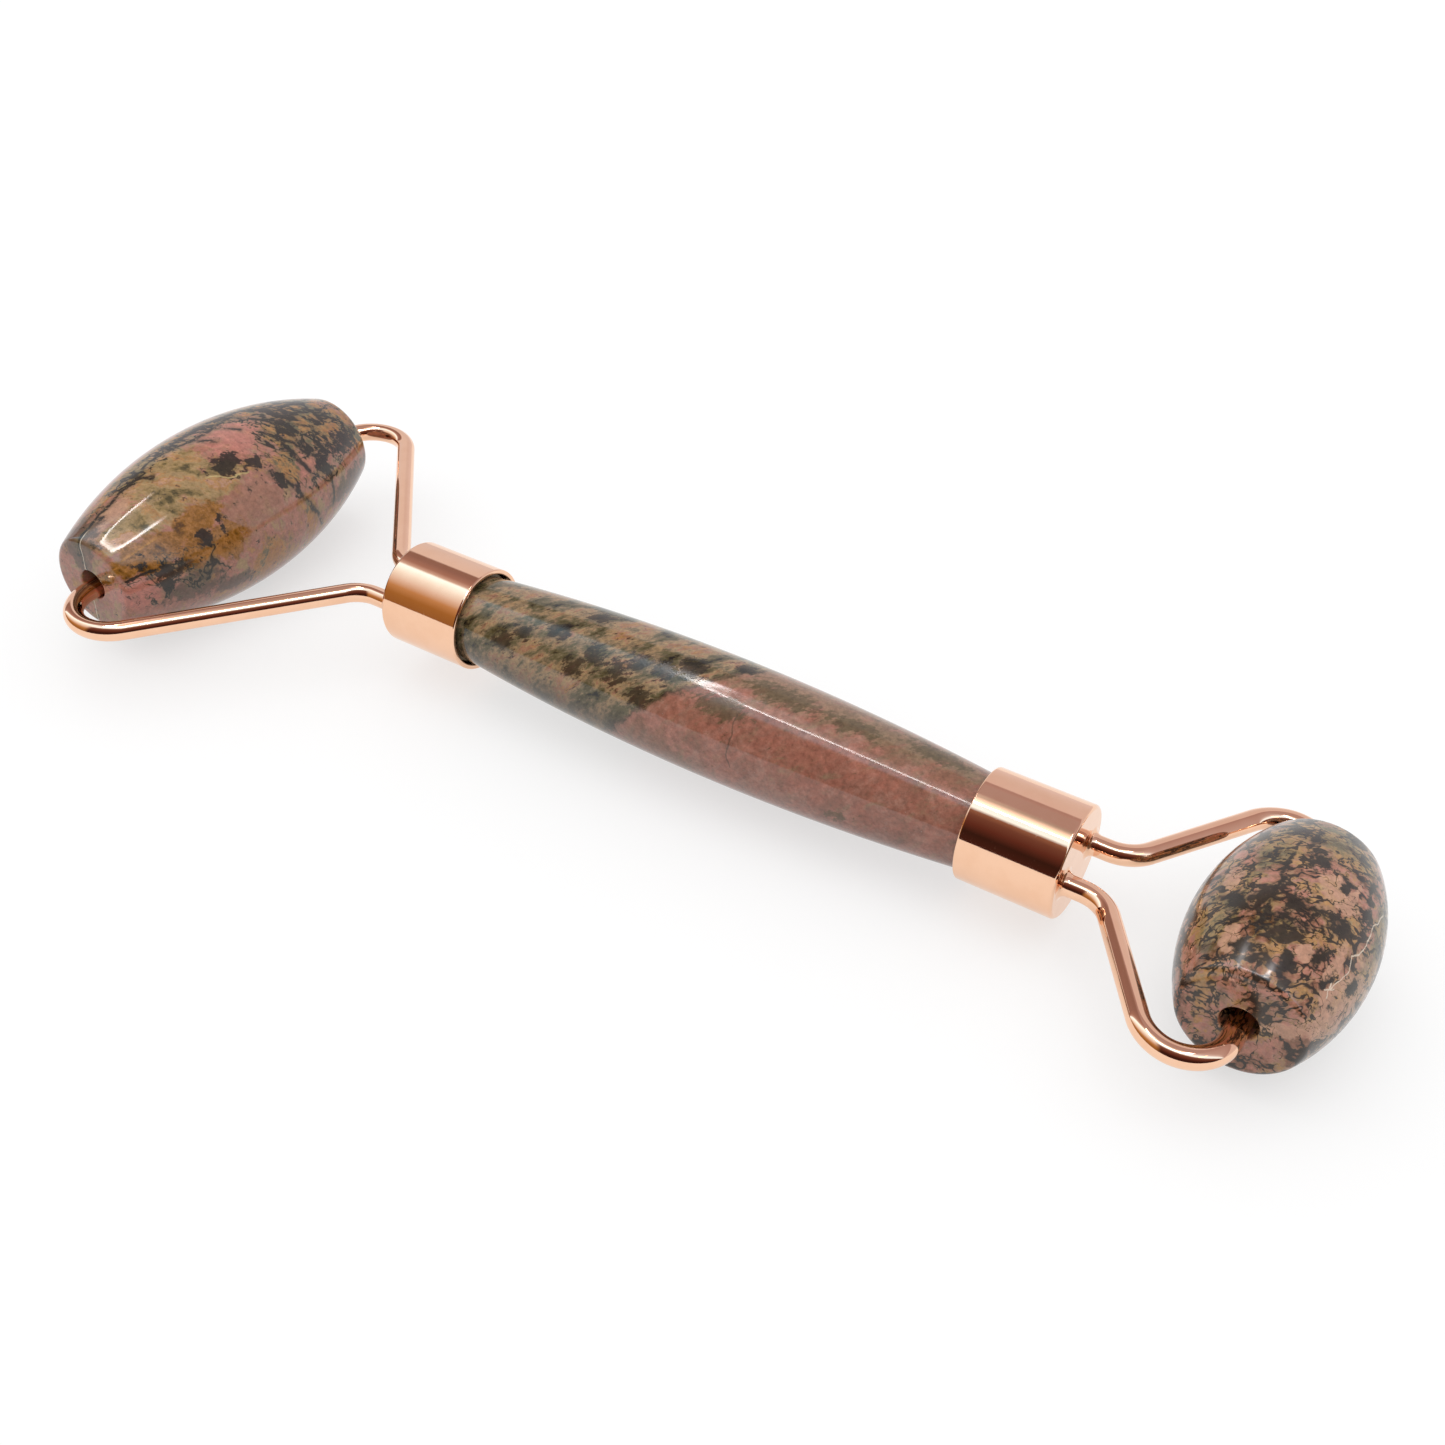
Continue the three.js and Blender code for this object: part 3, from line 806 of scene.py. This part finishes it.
def add_piece(name, shape, place, body, material, slot, *replaced):
    """A smooth mesh piece in the row frame, riding on a body and standing for CAD nodes."""
    shape.transform(place)
    bmesh.ops.recalc_face_normals(shape, faces=shape.faces)
    mesh = bpy.data.meshes.new(name)
    shape.to_mesh(mesh)
    shape.free()
    mesh.shade_smooth()
    mesh.set_sharp_from_angle(angle=SHARP_FROM)
    mesh.materials.append(material)
    piece = bpy.data.objects.new(name, mesh)
    bpy.context.scene.collection.objects.link(piece)
    weighted = piece.modifiers.new("flat_faces_stay_flat", "WEIGHTED_NORMAL")
    weighted.keep_sharp = True
    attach(piece, body)
    if replaced:
        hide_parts(*replaced)


def build_handle(rose_gold):
    """The stone, and at each end a ferrule and two arms, each with its braze."""
    add_piece("handle_stone_polished", handle_shape(), HANDLE_PLACE, "handle",
              handle_stone_material(), "handle_rhodonite", "handle_stone")
    for size, yoke in YOKES.items():
        turn = Matrix.Identity(4) if yoke["direction"] > 0 else TURNED
        add_piece(f"{size}_ferrule_cup", ferrule_shape(), HANDLE_PLACE @ turn, "handle",
                  rose_gold, "rose_gold", f"{size}_ferrule")
        for side, word in ((1, "left"), (-1, "right")):
            foot = Vector((yoke["direction"] * FACE, side * WIRE_PITCH, 0))
            foot_place = HANDLE_PLACE @ Matrix.Translation(foot) @ turn
            add_piece(f"{size}_{word}_braze_fillet", braze_shape(), foot_place, "handle",
                      rose_gold, "rose_gold")
            arm = arm_shape(yoke, ROLLERS[size]["half_length"], side)
            add_piece(f"{size}_{word}_wire_arm", arm, HANDLE_PLACE, "handle",
                      rose_gold, "rose_gold", f"{size}_yoke_{word}_arm")


def build_rollers():
    """The two stones, turned from along X to along Y."""
    stones = {"large": large_roller_material(), "small": small_roller_material()}
    across = Matrix.Rotation(math.radians(90), 4, "Z") @ Matrix.Scale(MM, 4)
    for size, facts in ROLLERS.items():
        shape = roller_shape(facts["half_length"], facts["mid_radius"], facts["end_radius"])
        place = Matrix.Translation(facts["middle"]) @ across
        add_piece(f"{size}_roller_polished", shape, place, f"{size}_roller",
                  stones[size], f"{size}_roller_rhodonite", f"{size}_roller_stone")


def dress_adhesive():
    """The hidden adhesive keeps its CAD solids and gets a finished look."""
    epoxy = epoxy_material()
    for size in YOKES:
        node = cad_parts[f"{size}_adhesive"]
        node.data.materials.clear()
        node.data.materials.append(epoxy)


build_handle(rose_gold_material())
build_rollers()
dress_adhesive()

# ---- Studio: pale floor, soft sky, one overhead softbox with a bright front edge ----

FLOOR_SIZE = 4.0
FLOOR_GLOW = 0.6
FLOOR_SHADE = 0.36
BOUNCE_CUT = 0.75  # the share of that glow that is seen but doesn't light the object

DOME_EDGE = 0.55
DOME_TOP = 1.25

SOFTBOX_HEIGHT = 0.55
SOFTBOX_CENTRE = (-0.010, 0.058)
SOFTBOX_TURN = -10
SOFTBOX_HALF = 215  # mm
SOFTBOX_CORNER = 90  # mm

STRIP_CENTRE = (0.434, -0.162)
STRIP_SIZE = (0.016, 0.19)
STRIP_GOLD = (1.0, 0.62, 0.25, 1)
STRIP_STRENGTH = 9.0

SUN_STRENGTH = 0.5
SUN_BREADTH = 70  # degrees
SUN_SEEN_FROM_PART = (-0.15, -0.3, 1.0)

# The camera comes from the fit of the object's outlines in the photo.
CAMERA_TARGET = (7.256, -0.782, 8.64)  # mm
CAMERA_DISTANCE = 178.77  # mm
CAMERA_AZIMUTH = 31.396  # degrees from straight in front, to the right
CAMERA_ELEVATION = 38.583
CAMERA_ROLL = 1.081
CAMERA_LENS = 42.84
CAMERA_SENSOR = 36


def add_stage(name, shape, material, place):
    """A mesh that belongs to the studio and not to the part."""
    mesh = bpy.data.meshes.new(name)
    shape.to_mesh(mesh)
    shape.free()
    mesh.materials.append(material)
    piece = bpy.data.objects.new(name, mesh)
    piece.matrix_world = place
    bpy.context.scene.collection.objects.link(piece)
    return piece


def only_reflected(lamp):
    lamp.visible_camera = False
    lamp.visible_diffuse = False
    lamp.visible_shadow = False


def build_floor():
    """A pale floor that glows from below like a light table, which leaves only a faint shadow."""
    shape = bmesh.new()
    bmesh.ops.create_grid(shape, x_segments=8, y_segments=8, size=FLOOR_SIZE / 2)
    material, nodes = new_material("pale_floor")
    bounced = nodes.add("LightPath").outputs["Is Diffuse Ray"]
    glow = nodes.math("MULTIPLY_ADD", bounced, -BOUNCE_CUT * FLOOR_GLOW, FLOOR_GLOW)
    inputs = {"Base Color": grey(FLOOR_SHADE), "Roughness": 0.9, "Specular IOR Level": 0.1}
    inputs |= {"Emission Color": grey(1.0), "Emission Strength": glow}
    shader = nodes.add("BsdfPrincipled", inputs)
    nodes.add("OutputMaterial", {"Surface": shader.outputs[0]})
    add_stage("floor", shape, material, Matrix.Identity(4))


def build_softbox():
    """A rounded square softbox overhead, brightest just inside its front edge, seen only in reflections."""
    straight = SOFTBOX_HALF - SOFTBOX_CORNER
    shape = bmesh.new()
    rim = []
    for right, front, start in ((1, 1, 0), (-1, 1, 90), (-1, -1, 180), (1, -1, 270)):
        rim += arc(right * straight, front * straight, SOFTBOX_CORNER, start, start + 90, 12)
    shape.faces.new([shape.verts.new((x * MM, y * MM, 0)) for x, y in rim])
    centre = Matrix.Translation((*SOFTBOX_CENTRE, SOFTBOX_HEIGHT))
    hang = centre @ Matrix.Rotation(math.radians(SOFTBOX_TURN), 4, "Z")
    only_reflected(add_stage("softbox", shape, softbox_material(straight), hang))


def softbox_material(straight):
    """Bright along the front edge and its corners, fading to a haze inwards and to the back."""
    material, nodes = new_material("softbox_glow")
    place = nodes.object_place()
    folded = nodes.vector("SUBTRACT", nodes.vector("ABSOLUTE", place), (straight, straight, 0))
    round_part = nodes.vector("LENGTH", nodes.vector("MAXIMUM", folded, (0, 0, 0)))
    sides = nodes.add("SeparateXYZ", {0: folded})
    flat_part = nodes.math("MINIMUM", nodes.math("MAXIMUM", sides.outputs[0], sides.outputs[1]), 0.0)
    depth = nodes.math("SUBTRACT", SOFTBOX_CORNER, nodes.math("ADD", round_part, flat_part))

    across = nodes.add("SeparateXYZ", {0: place})
    side = nodes.band(nodes.math("ABSOLUTE", across.outputs[0]), 70, 180)
    right = nodes.band(across.outputs[0], 60, 170)
    front = nodes.band(across.outputs[1], 0, -70)
    edge_width = nodes.math("MULTIPLY_ADD", right, 24.0, 26.0)
    edge = nodes.band(nodes.math("DIVIDE", depth, edge_width), 1.0, 0.3)
    edge_strength = nodes.math("MULTIPLY_ADD", side, 7.0, 19.0)
    bright = nodes.both(nodes.both(edge, front), edge_strength)
    haze = nodes.math("MULTIPLY_ADD", nodes.both(nodes.band(depth, 170, 20), front), 1.5, 0.47)
    tint = nodes.mix(front, (1.0, 0.8, 0.84, 1), (1.0, 0.97, 0.97, 1))
    glow = nodes.add("Emission", {"Color": tint, "Strength": nodes.math("ADD", bright, haze)})
    nodes.add("OutputMaterial", {"Surface": glow.outputs[0]})
    return material


def build_strip_lamp():
    """A narrow warm lamp to the right, seen as a thin gold line beside the softbox in the stones."""
    shape = bmesh.new()
    bmesh.ops.create_grid(shape, x_segments=1, y_segments=1, size=0.5)
    material, nodes = new_material("strip_glow")
    glow = nodes.add("Emission", {"Color": STRIP_GOLD, "Strength": STRIP_STRENGTH})
    nodes.add("OutputMaterial", {"Surface": glow.outputs[0]})
    hang = Matrix.Translation((*STRIP_CENTRE, SOFTBOX_HEIGHT)) @ Matrix.Diagonal((*STRIP_SIZE, 1, 1))
    only_reflected(add_stage("strip_lamp", shape, material, hang))


def build_sky():
    """A pale dome for soft light. Metal and polish see a far wall, a greyer ceiling and a dark near side.

    The ramps go over the top, from 0 at the far horizon through 0.5 overhead to 1 at the near horizon.
    """
    world = bpy.data.worlds.new("studio")
    bpy.context.scene.world = world
    world.use_nodes = True
    nodes = Nodes(world.node_tree)
    way = nodes.add("SeparateXYZ", {0: nodes.add("TexCoord").outputs["Generated"]})
    over = nodes.math("DIVIDE", nodes.math("ARCTAN2", way.outputs[2], way.outputs[1]), math.pi)
    middle = nodes.ramp(over, [
        (0.0, (0.82, 0.78, 0.85, 1)), (0.16, (0.75, 0.69, 0.72, 1)), (0.285, (0.76, 0.68, 0.72, 1)),
        (0.30, (0.44, 0.32, 0.33, 1)), (0.36, (0.50, 0.39, 0.41, 1)), (0.46, (0.56, 0.48, 0.52, 1)),
        (0.52, (0.75, 0.74, 0.85, 1)), (0.56, (1.1, 1.5, 1.9, 1)), (0.63, (1.2, 1.7, 2.1, 1)),
        (0.66, (0.3, 0.16, 0.11, 1)), (0.71, (0.18, 0.08, 0.06, 1)), (0.80, (0.12, 0.038, 0.028, 1)),
        (0.89, (0.04, 0.016, 0.012, 1)), (1.0, (0.06, 0.02, 0.015, 1)),
    ])
    left = nodes.ramp(over, [
        (0.0, (0.77, 0.74, 0.78, 1)), (0.28, (0.83, 0.79, 0.83, 1)), (0.30, (0.30, 0.2, 0.18, 1)),
        (0.36, (0.31, 0.2, 0.19, 1)), (0.44, (0.42, 0.27, 0.25, 1)), (0.49, (0.7, 0.6, 0.6, 1)),
        (0.515, (1.3, 1.9, 2.3, 1)), (0.61, (1.08, 1.3, 1.45, 1)), (0.70, (0.86, 0.82, 0.82, 1)),
        (0.79, (0.58, 0.35, 0.17, 1)), (0.88, (0.39, 0.2, 0.06, 1)), (1.0, (0.32, 0.16, 0.055, 1)),
    ])
    reflected = nodes.mix(nodes.band(way.outputs[0], -0.3, -0.5), middle, left)
    rays = nodes.add("LightPath")
    dome = nodes.even(nodes.math("MULTIPLY_ADD", way.outputs[2], DOME_TOP - DOME_EDGE, DOME_EDGE))
    unseen = nodes.mix(rays.outputs["Is Diffuse Ray"], reflected, dome)
    background = nodes.add("Background", {0: nodes.mix(rays.outputs["Is Camera Ray"], unseen, grey(1.0))})
    nodes.add("OutputWorld", {0: background.outputs[0]})


def build_sun():
    """Broad soft light from overhead and a little in front. Its own reflection is left to the softbox."""
    light = bpy.data.lights.new("overhead", "SUN")
    light.energy = SUN_STRENGTH
    light.angle = math.radians(SUN_BREADTH)
    sun = bpy.data.objects.new("overhead", light)
    sun.rotation_euler = Vector(SUN_SEEN_FROM_PART).to_track_quat("Z", "Y").to_euler()
    sun.visible_glossy = False
    bpy.context.scene.collection.objects.link(sun)


def build_camera():
    """The photo's view, from the right and above the near arms."""
    azimuth = math.radians(CAMERA_AZIMUTH)
    elevation = math.radians(CAMERA_ELEVATION)
    flat = math.cos(elevation)
    back = Vector((math.sin(azimuth) * flat, -math.cos(azimuth) * flat, math.sin(elevation)))
    place = Matrix.Translation((Vector(CAMERA_TARGET) + back * CAMERA_DISTANCE) * MM)
    facing = back.to_track_quat("Z", "Y").to_matrix().to_4x4()
    lens = bpy.data.cameras.new("camera")
    lens.lens = CAMERA_LENS
    lens.sensor_width = CAMERA_SENSOR
    lens.clip_start = 0.01
    camera = bpy.data.objects.new("camera", lens)
    camera.matrix_world = place @ facing @ Matrix.Rotation(math.radians(CAMERA_ROLL), 4, "Z")
    bpy.context.scene.collection.objects.link(camera)
    bpy.context.scene.camera = camera


build_floor()
build_softbox()
build_strip_lamp()
build_sky()
build_sun()
build_camera()
bpy.context.scene.view_settings.view_transform = "Standard"
